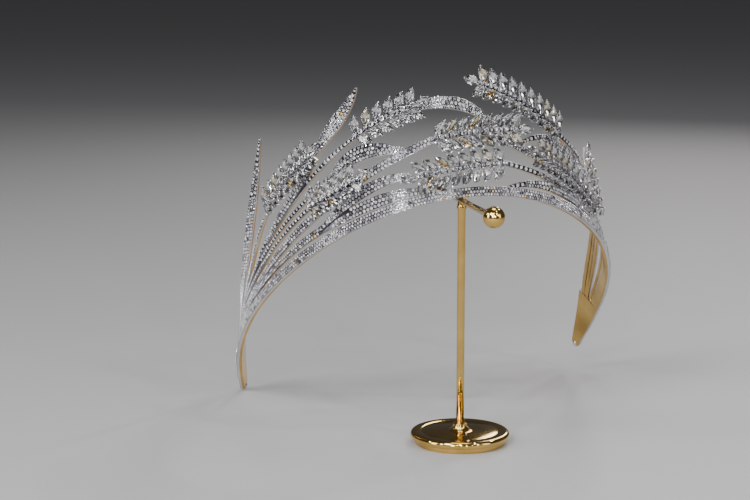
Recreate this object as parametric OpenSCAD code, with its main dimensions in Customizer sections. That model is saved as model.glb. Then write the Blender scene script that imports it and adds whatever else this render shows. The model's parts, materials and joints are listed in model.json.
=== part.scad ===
// Wheat-ear diadem hung on a plain T-bar stand.
// Origin: centre of the stand foot's flat underside. +Z is up and the diadem's front faces -Y.
// The diadem is laid out on a cone: a place on it is [share of wrap, share of ornament_h],
// where the first runs from -1 (left end) through 0 (front) to 1 (right end) and the second
// is the height above the lower edge of the head band.

/* [Head band] */
// Angle from the front of the band round to each end, in degrees
wrap = 115; // [95:1:130]
// Radius of the diadem's inner side at the height of its ends
base_r = 76; // [60:1:95]
// How far the wall closes in for each millimetre of height
lean = 0.17; // [0:0.01:0.3]
// Height of the front of the band above its ends
rise = 83; // [50:1:100]
// Shape of that rise: 1 is a flat slanting hoop, less is fuller at the sides
rise_curve = 0.83; // [0.6:0.01:1.2]
// Width of the head band
band_w = 3.4; // [2:0.1:5]
// Thickness of the head band
band_t = 1.9; // [1.6:0.1:2.8]
// Diameter of the ball at each end of the band
end_ball_d = 3.2; // [2.4:0.1:5]

/* [Stems and leaves] */
// Height of the ornament above the lower edge of the band at the front
ornament_h = 45; // [35:1:55]
// Thickness of the stems and leaves
metal_t = 1.3; // [0.9:0.1:1.8]
// Width of a stem that carries one row of small stones
row_w = 1.4; // [1.1:0.1:2]
// How far each layer of stems and leaves stands in front of the one below it
layer_step = 0.17; // [0.12:0.01:0.3]

/* [Ears] */
// Length of a marquise stone
stone_l = 6.4; // [4.5:0.1:7.5]
// Width of a marquise stone
stone_w = 3.1; // [2:0.1:3.6]
// Depth of a stone below its girdle
pavilion_h = 1.1; // [0.7:0.1:1.6]
// Height of a stone above its girdle
crown_h = 0.7; // [0.4:0.1:1]
// Distance along an ear from one pair of stones to the next
stone_pitch = 3.9; // [3.7:0.1:5.5]
// Angle between a stone and the ear's axis, in degrees
stone_splay = 48; // [30:1:60]
// How far the outer end of a stone is raised, in degrees
stone_lift = 10; // [0:1:20]
// Gap between a stone and the metal under it
seat_gap = 0.12; // [0.1:0.01:0.3]
// Width of the metal arm under a stone
seat_w = 1.1; // [0.7:0.1:1.6]

/* [Stand] */
// Diameter of the round foot
foot_d = 35.5; // [30:0.5:60]
// Thickness of the round foot
foot_t = 4.4; // [3:0.1:8]
// Diameter of the post
post_d = 2.8; // [2:0.1:5]
// Diameter of the cross bar
bar_d = 2.2; // [1.6:0.1:4]
// Length of the cross bar from knob centre to knob centre
bar_l = 79; // [50:1:120]
// Diameter of the turned knobs on the cross bar
knob_d = 7.4; // [5:0.1:12]
// How far in front of the post the band crosses the bar
band_forward = 1.7; // [-5:0.1:5]
// Side tilt of the hanging diadem in degrees; below 0 its left end is the lower one
diadem_roll = -4.3; // [-6:0.1:0]
// Gap between the bar and the band that rests on it
rest_gap = 0.12; // [0.1:0.01:0.3]
// Gap between the lower end of the band and the ground
ground_gap = 0.35; // [0.2:0.05:1]
// Gap between a pin and its hole in the stand
pin_gap = 0.1; // [0.05:0.01:0.2]

/* [Hidden] */
$fn = 72;

// Spacing of the cross sections along a stem and along the band
ring_step = 4.5;
// Half the distance between the roots of a pair of stones, and where the first pair of an ear
// stands, in shares of the distance between pairs
root_offset = 0.8;
first_pair = 0.35;
// Marquise stone: how pointed its outline is, its table and keel as shares of its size
pointed = 0.6;
table_share = 0.55;
keel_share = 0.18;
// Arm under a stone: its depth, how far it runs into the spine, and where along the stone
// it ends as a share of the stone's length
seat_t = 0.9;
root_reach = 0.4;
seat_share = 0.22;
// How far the band, and the plates where the stems meet, reach behind the wall
band_out = -0.1;
palm_out = -0.25;
// How far those plates stand in front of the band
palm_proud = 0.12;
// Foot: height of its lower ring as a share of foot_t, that ring's inset, metal round the post
// in the flare, height of the flare, metal left under the post
ring_share = 0.4;
foot_inset = 1.6;
flare_w = 1;
flare_h = 2.6;
socket_floor = 1.4;
// Knob: length of its collar, wall of metal round the pin there, and how far the two overlap
collar_l = 1.6;
collar_wall = 0.8;
collar_bite = 0.4;
// Layer of the spine under each ear; no metal that runs under a stone is on a higher one
spine_layer = 2;
// Height of a stone's lowest point over the wall
keel_out = metal_t + spine_layer * layer_step + seat_gap;
// Height of the band's centre line, where the end balls also sit
band_place = band_w / 2 / ornament_h;

// Where the stems of each side meet: a plate that widens up the leg from its end. Columns: as
// for the stems below.
PALMS = [
    [[[-1, 0.035], [-0.967, 0.07], [-0.933, 0.115], [-0.9, 0.165]], 2.4, 0, 8.6, 0, 0],
    [[[1, 0.035], [0.967, 0.07], [0.933, 0.115], [0.9, 0.165]], 2.4, 0, 8.6, 0, 0]
];

// Stems and leaves. Columns: the four places each runs through, from its root to its tip; its
// width at the root, its swell in the middle and its width at the tip, in widths of one row;
// its layer, where two that cross never share one; and how far its face is turned towards the
// front at its tip, in degrees.
STEMS = [
    // second rail above the band, and the long low leaf it ends in
    [[[-0.925, 0.097], [-0.76, 0.13], [-0.575, 0.15], [-0.39, 0.148]], 1, 0, 2, 1, 0],
    [[[-0.41, 0.15], [-0.285, 0.142], [-0.17, 0.128], [-0.06, 0.065]], 2, 1.7, 0.5, 0, 0],
    // stem of ear C, and the strip between it and the low leaf
    [[[-0.93, 0.13], [-0.65, 0.218], [-0.36, 0.33], [-0.07, 0.474]], 1.2, 0.5, 1.9, 0, 0],
    [[[-0.415, 0.15], [-0.33, 0.235], [-0.245, 0.27], [-0.15, 0.255]], 0.8, 1.8, 1.4, 2, 0],
    // stems of ear G, of the leaf behind ear C, and of ears B and A
    [[[-0.935, 0.158], [-0.775, 0.25], [-0.61, 0.335], [-0.445, 0.39]], 1, 0, 1, 1, 0],
    [[[-0.93, 0.18], [-0.745, 0.325], [-0.56, 0.437], [-0.375, 0.5]], 1, 0, 1, 0, 0],
    [[[-0.93, 0.198], [-0.74, 0.352], [-0.53, 0.555], [-0.305, 0.71]], 1, 0, 1, 1, 0],
    [[[-0.93, 0.213], [-0.805, 0.375], [-0.735, 0.58], [-0.651, 0.75]], 1, 0, 1, 0, 0],
    // far left leaf with its stem
    [[[-0.955, 0.2], [-0.866, 0.65], [-0.804, 1.12], [-0.777, 1.6]], 1.3, 2, 0.5, 5, 48],
    // leaf above ear A with its stem, leaves below ear B and behind ear C
    [[[-0.68, 0.43], [-0.59, 0.525], [-0.51, 0.615], [-0.44, 0.75]], 1, 1, 1.4, 2, 0],
    [[[-0.445, 0.78], [-0.392, 0.87], [-0.338, 0.965], [-0.298, 1.08]], 1, 2.6, 0.3, 1, 0],
    [[[-0.385, 0.47], [-0.325, 0.565], [-0.24, 0.535], [-0.14, 0.42]], 1, 3.1, 0.5, 1, 0],
    [[[-0.11, 0.75], [-0.03, 0.74], [0.05, 0.68], [0.11, 0.55]], 2.2, 1.7, 0.6, 0, 0],
    // thin leaf under ear C, and the leaf that arches over ear F
    [[[0.26, 0.35], [0.18, 0.41], [0.115, 0.435], [0.04, 0.41]], 1.6, 0.5, 0.5, 0, 0],
    [[[0.72, 0.36], [0.55, 0.465], [0.375, 0.56], [0.205, 0.44]], 1, 2.2, 0.6, 1, 0],
    // stem of ear D, and the low leaf on the right
    [[[0.925, 0.103], [0.66, 0.12], [0.39, 0.185], [0.134, 0.262]], 1, 0.4, 1.3, 0, 0],
    [[[0.62, 0.115], [0.45, 0.14], [0.275, 0.145], [0.12, 0.05]], 1, 1.9, 0.5, 1, 0],
    // stems of ears F, H and E, and the root of the arching leaf
    [[[0.93, 0.13], [0.79, 0.19], [0.655, 0.205], [0.52, 0.22]], 1, 0, 1, 1, 0],
    [[[0.93, 0.189], [0.855, 0.35], [0.785, 0.43], [0.715, 0.5]], 1, 0, 1, 1, 0],
    [[[0.925, 0.219], [0.83, 0.46], [0.62, 0.6], [0.376, 0.667]], 1.2, 0.3, 1.3, 0, 0],
    [[[0.93, 0.163], [0.855, 0.27], [0.785, 0.33], [0.705, 0.37]], 1, 0, 1, 0, 0]
];

// Ears A to H. Columns: the four places that the axis runs through, from the root to where
// the stone at the tip begins.
EARS = [
    [[-0.651, 0.75], [-0.581, 0.763], [-0.516, 0.775], [-0.458, 0.802]],
    [[-0.31, 0.71], [-0.245, 0.74], [-0.182, 0.755], [-0.12, 0.77]],
    [[-0.075, 0.475], [0.01, 0.487], [0.1, 0.508], [0.185, 0.54]],
    [[0.138, 0.262], [0.05, 0.238], [-0.035, 0.222], [-0.12, 0.22]],
    [[0.376, 0.667], [0.291, 0.735], [0.188, 0.807], [0.084, 0.875]],
    [[0.52, 0.22], [0.42, 0.285], [0.335, 0.34], [0.255, 0.385]],
    [[-0.455, 0.395], [-0.4, 0.38], [-0.35, 0.38], [-0.3, 0.39]],
    [[0.715, 0.5], [0.7, 0.64], [0.685, 0.78], [0.67, 0.92]]
];

function unit(v) = v / norm(v);

// The wall that everything lies on
function edge_z(f) = rise * pow(max(0, (cos(f) - cos(wrap)) / (1 - cos(wrap))), rise_curve);
function wall_r(z) = base_r - lean * z;
function spot(place, out) = let(f = place[0] * wrap, z = edge_z(f) + place[1] * ornament_h,
    r = wall_r(z) + out) [r * sin(f), -r * cos(f), z];
function outward(place) = unit([sin(place[0] * wrap), -cos(place[0] * wrap), lean]);

// Smooth line through four places, reached at t = 0, 1/3, 2/3 and 1
function through(q, t) = let(u = 3 * t)
    -q[0] * (u - 1) * (u - 2) * (u - 3) / 6 + q[1] * u * (u - 2) * (u - 3) / 2
    - q[2] * u * (u - 1) * (u - 3) / 2 + q[3] * u * (u - 1) * (u - 2) / 6;
function along(q, t) = let(e = 0.01)
    unit(spot(through(q, t + e), 0) - spot(through(q, t - e), 0));
function chords(q) = norm(spot(q[1], 0) - spot(q[0], 0)) + norm(spot(q[2], 0) - spot(q[1], 0))
    + norm(spot(q[3], 0) - spot(q[2], 0));

// Corners of a strip's cross section: half width to each side, thickness outward, and the face
// turned towards the front by an angle
function corners(place, dir, width, out, thick, turn = 0) =
    let(wall = outward(place), n = wall * cos(turn) - unit(cross(wall, dir)) * sin(turn),
        side = unit(cross(n, dir)), c = spot(place, out))
    [c - side * width / 2, c + side * width / 2,
     c + side * width / 2 + n * thick, c - side * width / 2 + n * thick];

// Solid through a list of four-cornered cross sections
module swept(sections) {
    last = len(sections) - 1;
    polyhedron(
        points = [for (s = sections) each s],
        faces = [
            [0, 1, 2, 3],
            [for (k = [3:-1:0]) 4 * last + k],
            for (i = [0:last - 1], k = [0:3])
                let(a = 4 * i + k, b = 4 * i + (k + 1) % 4) each [[a, b + 4, b], [a, a + 4, b + 4]]
        ]
    );
}

function stem_width(stem, t) =
    row_w * (stem[1] * (1 - t) + stem[3] * t + stem[2] * sin(180 * t));

module stem(row, out, thick) {
    q = row[0];
    rings = max(6, round(chords(q) / ring_step));
    swept([for (i = [0:rings]) let(t = i / rings)
        corners(through(q, t), along(q, t), stem_width(row, t), out, thick,
            row[5] * sin(90 * t))]);
}

module head_band() {
    rings = round(2 * wrap / 360 * 2 * PI * base_r / ring_step);
    function at(share) = [share, band_place];
    swept([for (i = [0:rings]) let(s = 2 * i / rings - 1, e = 0.001)
        corners(at(s), unit(spot(at(min(1, s + e)), 0) - spot(at(max(-1, s - e)), 0)),
            band_w, band_out, band_t - band_out)]);
    for (s = [-1, 1])
        translate(spot(at(s), band_t / 2)) sphere(d = end_ball_d, $fn = 16);
}

// Stones of an ear: how many pairs fit, and the frame of each stone as
// [centre of its keel, direction of its outer end, normal of its table]
function pairs(ear) = max(2, round(chords(ear) / stone_pitch));
function stone_frame(ear, t, side) =
    let(place = through(ear, t), n = outward(place), dir = along(ear, t),
        flat = side == 0 ? dir : dir * cos(stone_splay) + cross(n, dir) * side * sin(stone_splay),
        root = spot(place, keel_out) + cross(n, dir) * side * root_offset,
        long = flat * cos(stone_lift) + n * sin(stone_lift))
    [root + long * stone_l / 2, long, unit(n * cos(stone_lift) - flat * sin(stone_lift))];
function stone_frames(ear) = let(count = pairs(ear)) [
    for (i = [0:count - 1], side = [-1, 1]) stone_frame(ear, (i + first_pair) / count, side),
    stone_frame(ear, 1, 0)
];

module at_stone(f) {
    across = cross(f[2], f[1]);
    multmatrix([[f[1][0], across[0], f[2][0], f[0][0]], [f[1][1], across[1], f[2][1], f[0][1]],
        [f[1][2], across[2], f[2][2], f[0][2]], [0, 0, 0, 1]]) children();
}

// Marquise stone with its keel on z = 0: eight crown facets round a table, a pavilion below
function marquise(size, z) = [for (i = [0:7]) let(s = sin(45 * i))
    [stone_l / 2 * cos(45 * i) * size, stone_w / 2 * s * pow(abs(s), pointed) * size, z]];
module stone() {
    keel = stone_l * keel_share;
    hull() polyhedron(
        points = concat(marquise(1, pavilion_h), marquise(table_share, pavilion_h + crown_h),
            [[-keel, 0, 0], [keel, 0, 0]]),
        faces = [for (i = [0:7]) each [[i, (i + 1) % 8, 8 + i], [8 + i, (i + 1) % 8, 8 + (i + 1) % 8]],
            [for (i = [0:7]) 8 + i], for (i = [0:7]) [i, i < 2 || i > 5 ? 17 : 16, (i + 1) % 8],
            [2, 17, 16], [6, 16, 17]]);
}

// Tapered three-sided arm from the ear's spine to the middle of a stone
module seat() {
    root = -stone_l / 2 - root_reach;
    tip = stone_l * seat_share;
    function section(x, w, z) = [[x, -w / 2, z], [x, w / 2, z], [x, 0, -seat_gap - seat_t]];
    hull() polyhedron(
        points = concat(section(root, seat_w, -seat_gap - seat_t / 3),
            section(tip, seat_w / 2, -seat_gap)),
        faces = [[0, 1, 2], [3, 5, 4], [0, 3, 4, 1], [1, 4, 5, 2], [2, 5, 3, 0]]);
}

// Spine under the two rows of an ear, with the same columns as a stem
function spine(ear) = [ear, 1.1, 0.2, 1, spine_layer, 0];

// Hangs the diadem: the middle of its lower edge rests over the bar
bar_r = bar_d / 2;
end_place = spot([-1, band_place], band_t / 2);
function rolled_z(p) = -sin(diadem_roll) * p[0] + cos(diadem_roll) * (p[2] - rise);
bar_z = ground_gap + end_ball_d / 2 - rest_gap - bar_r
    - min(rolled_z(end_place), rolled_z([-end_place[0], end_place[1], end_place[2]]));
module hung() {
    translate([0, 0, bar_z + bar_r + rest_gap]) rotate([0, diadem_roll, 0])
        translate([0, wall_r(rise) - band_forward, -rise]) children();
}

module frame() {
    color("silver") hung() {
        head_band();
        for (row = PALMS) stem(row, palm_out, band_t - palm_out + palm_proud);
        for (row = concat(STEMS, [for (ear = EARS) spine(ear)]))
            stem(row, row[4] * layer_step, metal_t);
        for (ear = EARS, f = stone_frames(ear)) at_stone(f) seat();
    }
}

module ear_stones(index) {
    color("aliceblue") hung()
        for (f = stone_frames(EARS[index])) at_stone(f) stone();
}

// Foot: a narrow ring under a wider rounded disc that rises to a flared socket
foot_step = foot_t * ring_share;
foot_ring_r = foot_d / 2 - foot_inset;
round_r = (foot_t - foot_step) / 2;
socket_r = post_d / 2 + flare_w;
socket_depth = foot_t + flare_h - socket_floor;
module stand_foot() {
    color("goldenrod") difference() {
        rotate_extrude() {
            square([foot_ring_r, foot_step]);
            square([foot_d / 2 - round_r, foot_t]);
            translate([foot_d / 2 - round_r, foot_step + round_r]) circle(r = round_r, $fn = 48);
            polygon([[0, foot_step], [socket_r + flare_h, foot_step], [socket_r + flare_h, foot_t],
                [socket_r + flare_h * 0.3, foot_t + flare_h * 0.45],
                [socket_r, foot_t + flare_h], [0, foot_t + flare_h]]);
        }
        translate([0, 0, socket_floor])
            cylinder(d = post_d + 2 * pin_gap, h = socket_depth + flare_w);
    }
}

// Post and bar, soldered to one piece; the bar's ends are pins for the knobs
module stand_tee() {
    post_start = socket_floor + pin_gap;
    color("goldenrod") {
        translate([0, 0, post_start]) cylinder(d = post_d, h = bar_z - post_start);
        translate([0, bar_l / 2, bar_z]) rotate([90, 0, 0]) cylinder(d = bar_d, h = bar_l);
    }
}

// Turned knob with a collar towards the post
module stand_knob(front) {
    color("goldenrod") translate([0, front * bar_l / 2, bar_z]) rotate([-90 * front, 0, 0])
        difference() {
            union() {
                sphere(d = knob_d);
                translate([0, 0, -knob_d / 2 - collar_l + collar_bite])
                    cylinder(d = bar_d + 2 * collar_wall, h = collar_l + collar_bite);
            }
            translate([0, 0, -knob_d / 2 - collar_l])
                cylinder(d = bar_d + 2 * pin_gap, h = knob_d / 2 + collar_l + pin_gap);
        }
}
module stand_knob_front() stand_knob(-1);
module stand_knob_back() stand_knob(1);

frame();
ear_stones(0);  // ear_a_stones
ear_stones(1);  // ear_b_stones
ear_stones(2);  // ear_c_stones
ear_stones(3);  // ear_d_stones
ear_stones(4);  // ear_e_stones
ear_stones(5);  // ear_f_stones
ear_stones(6);  // ear_g_stones
ear_stones(7);  // ear_h_stones
stand_foot();
stand_tee();
stand_knob_front();
stand_knob_back();
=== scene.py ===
# %% [markdown]
# # A wheat-ear diadem on its brass stand
# The solid model of the diadem is already made, and this script dresses it. It is loaded as a
# fixed frame, and every new surface is worked out in the same place and size, in metres.

import json
from collections import namedtuple

import bpy
import numpy as np
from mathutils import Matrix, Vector

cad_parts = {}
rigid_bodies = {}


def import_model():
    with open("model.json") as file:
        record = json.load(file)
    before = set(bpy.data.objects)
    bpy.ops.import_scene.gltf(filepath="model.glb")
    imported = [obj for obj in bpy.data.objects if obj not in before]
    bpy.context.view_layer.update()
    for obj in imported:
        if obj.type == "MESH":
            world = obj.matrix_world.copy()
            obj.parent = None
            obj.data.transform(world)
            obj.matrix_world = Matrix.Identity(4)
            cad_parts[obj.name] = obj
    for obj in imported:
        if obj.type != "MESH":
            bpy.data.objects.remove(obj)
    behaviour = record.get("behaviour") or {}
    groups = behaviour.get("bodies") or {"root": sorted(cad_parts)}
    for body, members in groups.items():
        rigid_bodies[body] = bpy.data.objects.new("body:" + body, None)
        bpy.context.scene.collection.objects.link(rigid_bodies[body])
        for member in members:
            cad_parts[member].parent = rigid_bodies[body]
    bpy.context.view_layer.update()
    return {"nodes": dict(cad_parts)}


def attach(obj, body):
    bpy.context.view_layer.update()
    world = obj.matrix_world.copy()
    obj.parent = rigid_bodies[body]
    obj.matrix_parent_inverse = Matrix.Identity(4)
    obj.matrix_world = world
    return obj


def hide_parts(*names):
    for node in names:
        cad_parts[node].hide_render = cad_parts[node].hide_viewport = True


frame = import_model()
print("solid model:", len(frame["nodes"]), "nodes")

# %% [markdown]
# ## Camera
# The jewel is seen a little from its left and from just above, through a long lens. The lens is
# long so that the near and the far side of the band look almost equally large.

# %% Place the camera
MM = 0.001
CAMERA_AT, LOOKS_ALONG, LENS = (-177.2, -632.9, 182.48), (0.2217, 0.9602, -0.1696), 91.2


def placed(name, data, place, direction):
    """Camera or lamp at a place in metres, turned so that its -Z axis looks along a direction."""
    thing = bpy.data.objects.new(name, data)
    bpy.context.scene.collection.objects.link(thing)
    thing.location = place
    thing.rotation_mode = "QUATERNION"
    thing.rotation_quaternion = Vector(direction).to_track_quat("-Z", "Y")
    return thing


camera = placed("camera", bpy.data.cameras.new("camera"), Vector(CAMERA_AT) * MM, LOOKS_ALONG)
camera.data.sensor_width, camera.data.lens = 36.0, LENS
camera.data.clip_start, camera.data.clip_end = 0.01, 30.0
bpy.context.scene.camera = camera
print("camera at", [round(c, 3) for c in camera.location])

# %% [markdown]
# ## Turning numbers into a mesh
# Every piece below is an array of points and a few arrays of faces. Blender takes such arrays
# whole with foreach_set, which is far quicker than adding points one by one. A closed surface
# must have its faces turned outwards. The volume that the faces enclose tells which way they
# point: it is negative when the surface is inside out, and then every face is turned round.

# %% Mesh from arrays
def enclosed_volume(points, faces):
    """Sum over fans of triangles of a . (b x c) / 6, positive when the faces point outwards."""
    total = 0.0
    for polygon in faces:
        for k in range(1, polygon.shape[1] - 1):
            a, b, c = points[polygon[:, 0]], points[polygon[:, k]], points[polygon[:, k + 1]]
            total += np.einsum("ij,ij->", a, np.cross(b, c)) / 6
    return total


def make_piece(name, points, faces, materials, sharp, layers=None, slots=None):
    """A mesh object at the origin. points are millimetres (N, 3), and faces is a list of arrays,
    each with its own number of corners. Edges of more than sharp degrees stay sharp, and at 0
    every face is flat. layers are named values for each point, and slots says which material
    each array of faces wears."""
    mesh = bpy.data.meshes.new(name)
    corners = np.concatenate([f.ravel() for f in faces]).astype(np.int32)
    counts = np.concatenate([np.full(len(f), f.shape[1]) for f in faces]).astype(np.int32)
    mesh.vertices.add(len(points))
    mesh.vertices.foreach_set("co", (np.asarray(points) * MM).astype(np.float32).ravel())
    mesh.loops.add(len(corners))
    mesh.loops.foreach_set("vertex_index", corners)
    mesh.polygons.add(len(counts))
    mesh.polygons.foreach_set("loop_start", (np.cumsum(counts) - counts).astype(np.int32))
    mesh.polygons.foreach_set("loop_total", counts)
    if slots is not None:
        worn = np.concatenate([np.full(len(f), s) for f, s in zip(faces, slots)])
        mesh.polygons.foreach_set("material_index", worn.astype(np.int32))
    for layer, values in (layers or {}).items():
        mesh.attributes.new(layer, "FLOAT", "POINT").data.foreach_set(
            "value", np.asarray(values, np.float32))
    for material in materials:
        mesh.materials.append(material)
    mesh.update(calc_edges=True)
    mesh.validate()
    mesh.polygons.foreach_set("use_smooth", np.full(len(mesh.polygons), sharp > 0))
    if sharp > 0:
        mesh.set_sharp_from_angle(angle=np.radians(sharp))
    piece = bpy.data.objects.new(name, mesh)
    bpy.context.scene.collection.objects.link(piece)
    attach(piece, "root")
    print(f"{name}: {len(points)} points, {len(mesh.polygons)} faces")
    return piece


# %% Skins through rings of points
def joined(parts):
    """Several (points, faces) as one: the corners of each part are counted on from the points of
    the parts before it."""
    start = np.cumsum([0] + [len(p) for p, _ in parts])
    sizes = sorted({f.shape[1] for _, faces in parts for f in faces})
    faces = [np.concatenate([f + s for (_, fs), s in zip(parts, start) for f in fs
                             if f.shape[1] == size]) for size in sizes]
    return np.concatenate([p for p, _ in parts]), faces


def flipped(faces):
    """Every face turned to its other side, by listing its corners backwards."""
    return [f[:, ::-1] for f in faces]


def quads_between(count, around, steps):
    """Quads from ring i to ring i + 1 for each i below steps. The first ring follows the last."""
    i, k = np.meshgrid(np.arange(steps), np.arange(around), indexing="ij")
    low, high, after = i * around, (i + 1) % count * around, (k + 1) % around
    return np.stack([low + k, low + after, high + after, high + k], -1).reshape(-1, 4)


def skin(rings):
    """Closed surface through rings of points (R, K, 3): quads from ring to ring, and each end
    ring closed by one face. It is turned round if it came out inside out."""
    count, around = rings.shape[:2]
    k = np.arange(around)
    points = rings.reshape(-1, 3)
    faces = [quads_between(count, around, count - 1), np.stack([k[::-1], k + len(points) - around])]
    return points, faces if enclosed_volume(points, faces) > 0 else flipped(faces)


block = skin(np.array([[[0, 0, z], [1, 0, z], [1, 1, z], [0, 1, z]] for z in (0, 2)]))
print("a block of 1 x 1 x 2 encloses", round(enclosed_volume(*block), 3))

# %% [markdown]
# ## The wall that the jewel lies on
# A diadem follows the head, so all its metal lies on a cone. A place on the cone has two
# numbers: how far round it is, from -1 at the left end to 1 at the right end, and how high it
# is above the lower edge of the band. The band itself rises from its ends to its front. Drawing
# on the unrolled cone and then bending it is how such a jewel is laid out on the bench too.

# %% Places on the cone
WRAP, BASE_R, LEAN = np.radians(115.0), 76.0, 0.17
RISE, RISE_CURVE, ORNAMENT_H = 83.0, 0.83, 45.0


def edge_z(angle):
    """Height of the band's lower edge: a cosine hump raised to a power, 0 at the two ends."""
    hump = np.maximum(0, (np.cos(angle) - np.cos(WRAP)) / (1 - np.cos(WRAP)))
    return RISE * hump ** RISE_CURVE


def spot(place, out):
    """Point on the cone: angle = share of the wrap, radius = base - lean * height + out."""
    angle = place[..., 0] * WRAP
    height = edge_z(angle) + place[..., 1] * ORNAMENT_H
    radius = BASE_R - LEAN * height + out
    return np.stack([radius * np.sin(angle), -radius * np.cos(angle), height], -1)


def unit(v):
    """Each vector divided by its length."""
    return v / np.linalg.norm(v, axis=-1, keepdims=True)


def outward(place):
    """Direction out of the wall: away from the axis, and a little up because the wall leans in."""
    angle = place[..., 0] * WRAP
    return unit(np.stack([np.sin(angle), -np.cos(angle), np.full_like(angle, LEAN)], -1))


def through(four, t):
    """Cubic through four places, met at t = 0, 1/3, 2/3 and 1."""
    u = 3 * np.asarray(t)[..., None]
    q = np.asarray(four)
    return (-q[0] * (u - 1) * (u - 2) * (u - 3) / 6 + q[1] * u * (u - 2) * (u - 3) / 2
            - q[2] * u * (u - 1) * (u - 3) / 2 + q[3] * u * (u - 1) * (u - 2) / 6)


def along(four, t, step=0.01):
    """Direction of that line on the wall, from two places close together."""
    t = np.asarray(t)
    return unit(spot(through(four, t + step), 0) - spot(through(four, t - step), 0))


def chords(four):
    """Length of the three straight lines between the four places."""
    return np.linalg.norm(np.diff(spot(np.asarray(four), 0), axis=0), axis=1).sum()


print("the band rises", edge_z(0.0), "mm from its ends to its front")

# %% [markdown]
# The finished diadem hangs over the bar of its stand by the middle of the band, and one end
# hangs a little lower than the other. The same turn and shift is given to every point.

# %% Hang the diadem on the bar
ROLL, BAND_FORWARD = np.radians(-4.3), 1.7
BAND_W, BAND_T, BALL_D = 3.4, 1.9, 3.2
BAR_D, BAR_L, KNOB_D, REST_GAP, GROUND_GAP = 2.2, 79.0, 7.4, 0.12, 0.35
BAND_PLACE = BAND_W / 2 / ORNAMENT_H

ends = spot(np.array([[-1, BAND_PLACE], [1, BAND_PLACE]]), BAND_T / 2)
lowest = (-np.sin(ROLL) * ends[:, 0] + np.cos(ROLL) * (ends[:, 2] - RISE)).min()
BAR_Z = GROUND_GAP + BALL_D / 2 - REST_GAP - BAR_D / 2 - lowest


def hung(points):
    """Turned about Y by the roll, round the middle of the band's lower edge, then set over the
    bar."""
    x, y, z = np.moveaxis(points, -1, 0)
    y, z = y + BASE_R - LEAN * RISE - BAND_FORWARD, z - RISE
    c, s = np.cos(ROLL), np.sin(ROLL)
    return np.stack([c * x + s * z, y, -s * x + c * z + BAR_Z + BAR_D / 2 + REST_GAP], -1)


print("the bar's centre is", round(BAR_Z, 2), "mm up")

# %% [markdown]
# ## Marks of handling
# Metal that is handled has soft cloudy differences in gloss and hair-fine scratches. All three
# metals of this piece share that effect, so it is a node group, built once and then placed in
# each material with that material's own values. A painted picture could show the same marks,
# but noise follows any shape and never runs out of detail.

# %% Node helpers
def set_inputs(node, values):
    """Sets a node's inputs, each by its name or its number."""
    for label, value in values.items():
        node.inputs[label].default_value = value


def new_node(tree, kind, values=None, **settings):
    """Shader node of a kind, with its settings and then its inputs set."""
    node = tree.nodes.new("ShaderNode" + kind)
    for label, value in settings.items():
        setattr(node, label, value)
    set_inputs(node, values or {})
    return node


def new_group(name, inputs, outputs):
    """Empty node group with float inputs (name: default) and float outputs."""
    group = bpy.data.node_groups.new(name, "ShaderNodeTree")
    for label, value in inputs.items():
        group.interface.new_socket(label, in_out="INPUT", socket_type="NodeSocketFloat"
                                   ).default_value = value
    for label in outputs:
        group.interface.new_socket(label, in_out="OUTPUT", socket_type="NodeSocketFloat")
    return group, group.nodes.new("NodeGroupInput"), group.nodes.new("NodeGroupOutput")


def calc(tree, kind, a, b):
    """Output of a math node; a and b are sockets or numbers."""
    node = new_node(tree, "Math", operation=kind)
    for socket, value in zip(node.inputs, (a, b)):
        if isinstance(value, bpy.types.NodeSocket):
            tree.links.new(value, socket)
        else:
            socket.default_value = value
    return node.outputs[0]


# %% Handling marks
SCRATCH_SCALE, SCRATCH_TURN, SCRATCH_LIMIT = (3000, 3000, 260), (0.4, 0.7, 0.2), 0.6
LEAST_ROUGHNESS = 0.03


def handling_group():
    """Cloudy gloss: base roughness plus a broad noise times spread. Scratches: a stretched fine
    noise kept only above a limit, put out as a height."""
    group, given, made = new_group(
        "handling_marks", {"Roughness": 0.2, "Spread": 0.1, "Cloud scale": 90, "Scratch": 0.3},
        ["Roughness", "Height", "Cloud"])
    link = group.links.new
    place = new_node(group, "TexCoord").outputs["Object"]
    cloud = new_node(group, "TexNoise", {"Detail": 4})
    link(place, cloud.inputs["Vector"])
    link(given.outputs["Cloud scale"], cloud.inputs["Scale"])
    stretch = new_node(group, "Mapping", {"Scale": SCRATCH_SCALE, "Rotation": SCRATCH_TURN})
    link(place, stretch.inputs["Vector"])
    hair = new_node(group, "TexNoise", {"Scale": 1.0, "Detail": 2})
    link(stretch.outputs[0], hair.inputs["Vector"])
    above = calc(group, "SUBTRACT", hair.outputs["Fac"], SCRATCH_LIMIT)
    lines = calc(group, "MAXIMUM", above, 0.0)
    centred = calc(group, "SUBTRACT", cloud.outputs["Fac"], 0.5)
    rough = calc(group, "ADD", given.outputs["Roughness"],
                 calc(group, "MULTIPLY", centred, given.outputs["Spread"]))
    link(calc(group, "MAXIMUM", rough, LEAST_ROUGHNESS), made.inputs["Roughness"])
    link(calc(group, "MULTIPLY", lines, given.outputs["Scratch"]), made.inputs["Height"])
    link(cloud.outputs["Fac"], made.inputs["Cloud"])
    return group


handling = handling_group()
print("group", handling.name)

# %% [markdown]
# ## Metals
# The front is white rhodium over silver, which is cool and very slightly violet. The plain back
# of the same strips is gold-toned. The stand is polished brass. All three are one recipe: a
# metallic base colour that the cloud shifts a little, gloss from the handling marks, and for the
# silver a painted shade in the channel where the stones are set: the colour goes nearly black
# there, read from a value on the mesh.

# %% Metal recipe
# Colour of the painted shade in the stone channel: nearly black, standing for the shadow between
# the stones
PAINTED_SHADE_COLOUR = (0.07, 0.068, 0.08)


def principled(name, values):
    """New material, its node tree and its surface node with some inputs set."""
    material = bpy.data.materials.new(name)
    material.use_nodes = True
    surface = material.node_tree.nodes["Principled BSDF"]
    set_inputs(surface, values)
    return material, material.node_tree, surface


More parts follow.
